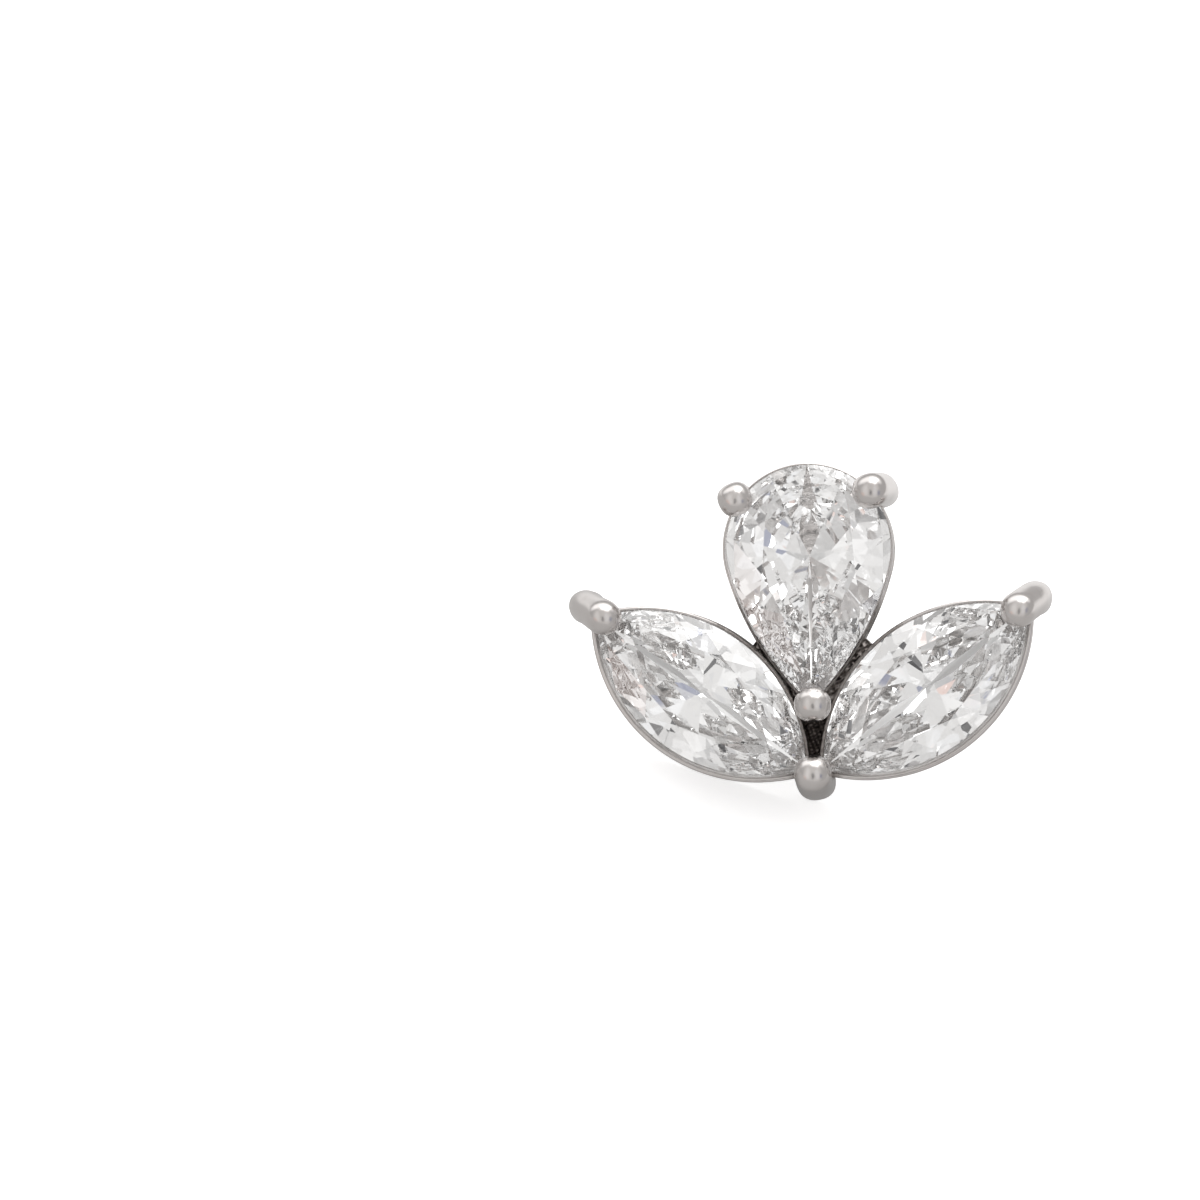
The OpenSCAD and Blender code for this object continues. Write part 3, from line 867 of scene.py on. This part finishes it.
crystal = bpy.data.materials.new("cubic_zirconia")
crystal.use_nodes = True
clear = crystal.node_tree.nodes["Principled BSDF"]
clear.inputs["Base Color"].default_value = (1.0, 1.0, 1.0, 1)
clear.inputs["Roughness"].default_value = 0.0
clear.inputs["Transmission Weight"].default_value = 1.0
clear.inputs["IOR"].default_value = CZ_INDEX
for name in STONES:
    for slot in frame["nodes"][name].material_slots:
        slot.material = crystal

cycles = bpy.context.scene.cycles
cycles.max_bounces, cycles.glossy_bounces, cycles.transmission_bounces = 32, 24, 24
print("reflections followed inside a stone:", cycles.transmission_bounces)

# %% [markdown]
# ## Floor and light
#
# A jeweller photographs small shiny things in a white tent: light comes from everywhere, a little more from
# above, and the dark parts of a reflection are the gap that the lens looks through. The world plays the
# tent. Its colour depends on direction alone: a grey base, a wall in front of the head with a light panel
# on either side of it, a strong panel above, a warm and a blue patch for the faint colours in the facets,
# and the dark gap.

# %% A patch of light in one direction
LIT, UNLIT, IN_FRONT = 0.5, 1.6, np.cos(np.radians(60))


def dot(tree, at, look, axis):
    """Dot product of the direction that is looked in and a fixed one."""
    made = node(tree, "VectorMath", at, operation="DOT_PRODUCT")
    feed(tree, made.inputs[0], look)
    feed(tree, made.inputs[1], axis)
    return made.outputs["Value"]


def patch(tree, row, look, towards, up, wide, tall):
    """Share of light: 1 where (a / wide)^2 + (b / tall)^2 is below LIT, fading to 0 where it is UNLIT.

    The sum is as small on the far side, so only directions within 60 degrees of the middle count.
    """
    middle = unit(head_direction(*towards))
    level = unit(np.cross(head_direction(*up), middle))
    across = dot(tree, (0, row), look, level / wide)
    upwards = dot(tree, (1, row), look, np.cross(middle, level) / tall)
    square = math_node(tree, (2, row), "MULTIPLY", across, across)
    total = math_node(tree, (3, row), "MULTIPLY_ADD", upwards, upwards, square)
    fade = ramp(tree, (5, row - 1), total, (UNLIT, LIT), (0.0, 1.0), interpolation_type="SMOOTHSTEP")
    front = math_node(tree, (5, row), "GREATER_THAN", dot(tree, (4, row), look, middle), IN_FRONT)
    return math_node(tree, (6, row), "MULTIPLY", front, fade)


# %% The white tent
def tent(base, patches):
    """World whose light depends on direction: a base, over which each patch lays its own colour."""
    world = bpy.data.worlds.new("white tent")
    bpy.context.scene.world = world
    world.use_nodes = True
    tree = world.node_tree
    look = node(tree, "TexCoord", (-2, 0)).outputs["Generated"]
    light = base
    for row, (*shape, color) in enumerate(patches.values()):
        light = mix_color(tree, (8 + row, 0), light, color, patch(tree, -2 * row, look, *shape))
    feed(tree, tree.nodes["Background"].inputs["Color"], light)


# Each patch: towards and up in the head's axes, half width and half height as sines, colour
PATCHES = {
    "wall in front": ((0, 0, 1), (0, 1, 0), 0.95, 0.95, (0.78, 0.77, 0.76, 1)),
    "left panel": ((-0.5, 0.05, 0.85), (0, 1, 0), 0.24, 0.55, (0.97, 0.96, 0.95, 1)),
    "right panel": ((0.48, -0.05, 0.86), (0, 1, 0), 0.2, 0.5, (0.94, 0.94, 0.945, 1)),
    "warm patch": ((-0.75, -0.5, 0.6), (0, 1, 0), 0.2, 0.3, (0.92, 0.72, 0.66, 1)),
    "blue patch": ((0.8, -0.2, 0.6), (0, 1, 0), 0.12, 0.25, (0.3, 0.32, 0.42, 1)),
    "panel above": ((0, 1, 0.12), (0, 0, 1), 0.8, 0.36, (1.65, 1.65, 1.65, 1)),
    "gap for the lens": ((0.035, -0.27, 1), (0, 1, 0), 0.085, 0.32, (0.03, 0.03, 0.035, 1)),
}
tent((0.56, 0.555, 0.55, 1), PATCHES)
print("patches of light:", ", ".join(PATCHES))

# %% [markdown]
# ## Pale floor
#
# White paper under a bright tent photographs as plain white, but what the metal mirrors of it is greyer,
# because the paper close behind the head lies in its shade. One plane plays both with painted light and
# shade: the lens sees it nearly white, lifted by a painted glow that also lightens its soft shadow, and every
# other ray sees a darker grey copy of the paper, with painted shade close behind the head and a painted glow
# that gets lighter towards the back. A wide lamp above and a little behind the head gives the shadow its
# direction and its soft edge.

# %% White paper
# Colour and painted glow that the lens sees, which lightens the paper's shadow, and the darker colour that
# every other ray sees, a painted shade
SEEN_COLOR, SEEN_PAINTED_LIGHT, MIRRORED_SHADED_COLOR = (0.93, 0.93, 0.93, 1), (0.6, 0.6, 0.6, 1), (0.36, 0.355, 0.35, 1)

# Painted shade: metres towards the back between which the painted glow for every other ray rises, and from
# what to what
SHADE, MIRRORED_PAINTED_LIGHT = (0.005, 0.018), (0.17, 0.62)

paper = bpy.data.materials.new("white_paper")
paper.use_nodes = True
tree = paper.node_tree
matte = tree.nodes["Principled BSDF"]
matte.inputs["Roughness"].default_value = 0.9
matte.inputs["Emission Strength"].default_value = 1.0
# Painted light and shade: the lens sees white paper with a painted glow, every other ray darker paper whose
# painted glow rises away from the head
seen = node(tree, "LightPath", (-4, 0)).outputs["Is Camera Ray"]
place = node(tree, "TexCoord", (-6, -1)).outputs["Object"]
back = node(tree, "SeparateXYZ", (-5, -1), Vector=place).outputs["Y"]
painted_light = ramp(tree, (-4, -1), back, SHADE, MIRRORED_PAINTED_LIGHT)
feed(tree, matte.inputs["Base Color"], mix_color(tree, (-2, 0), MIRRORED_SHADED_COLOR, SEEN_COLOR, seen))
feed(tree, matte.inputs["Emission Color"], mix_color(tree, (-2, -1), painted_light, SEEN_PAINTED_LIGHT, seen))
bpy.ops.mesh.primitive_plane_add(size=0.6)
floor = bpy.context.object
floor.name = "floor"
floor.data.materials.append(paper)
print("floor in m:", [round(side, 2) for side in floor.dimensions])

# %% A soft lamp
LAMP_BACK, LAMP_UP = 0.12, 0.3

panel = bpy.data.lights.new("soft panel", "AREA")
panel.energy, panel.size = 0.35, 0.25
lamp = bpy.data.objects.new("soft panel", panel)
lamp.location = (0.0, LAMP_BACK, LAMP_UP)
lamp.rotation_euler = Vector((0.0, -LAMP_BACK, -LAMP_UP)).to_track_quat("-Z", "Y").to_euler()
bpy.context.scene.collection.objects.link(lamp)
bpy.context.scene.view_settings.view_transform = "Standard"
print("lamp leans by", round(np.degrees(np.arctan2(LAMP_BACK, LAMP_UP)), 1), "degrees")
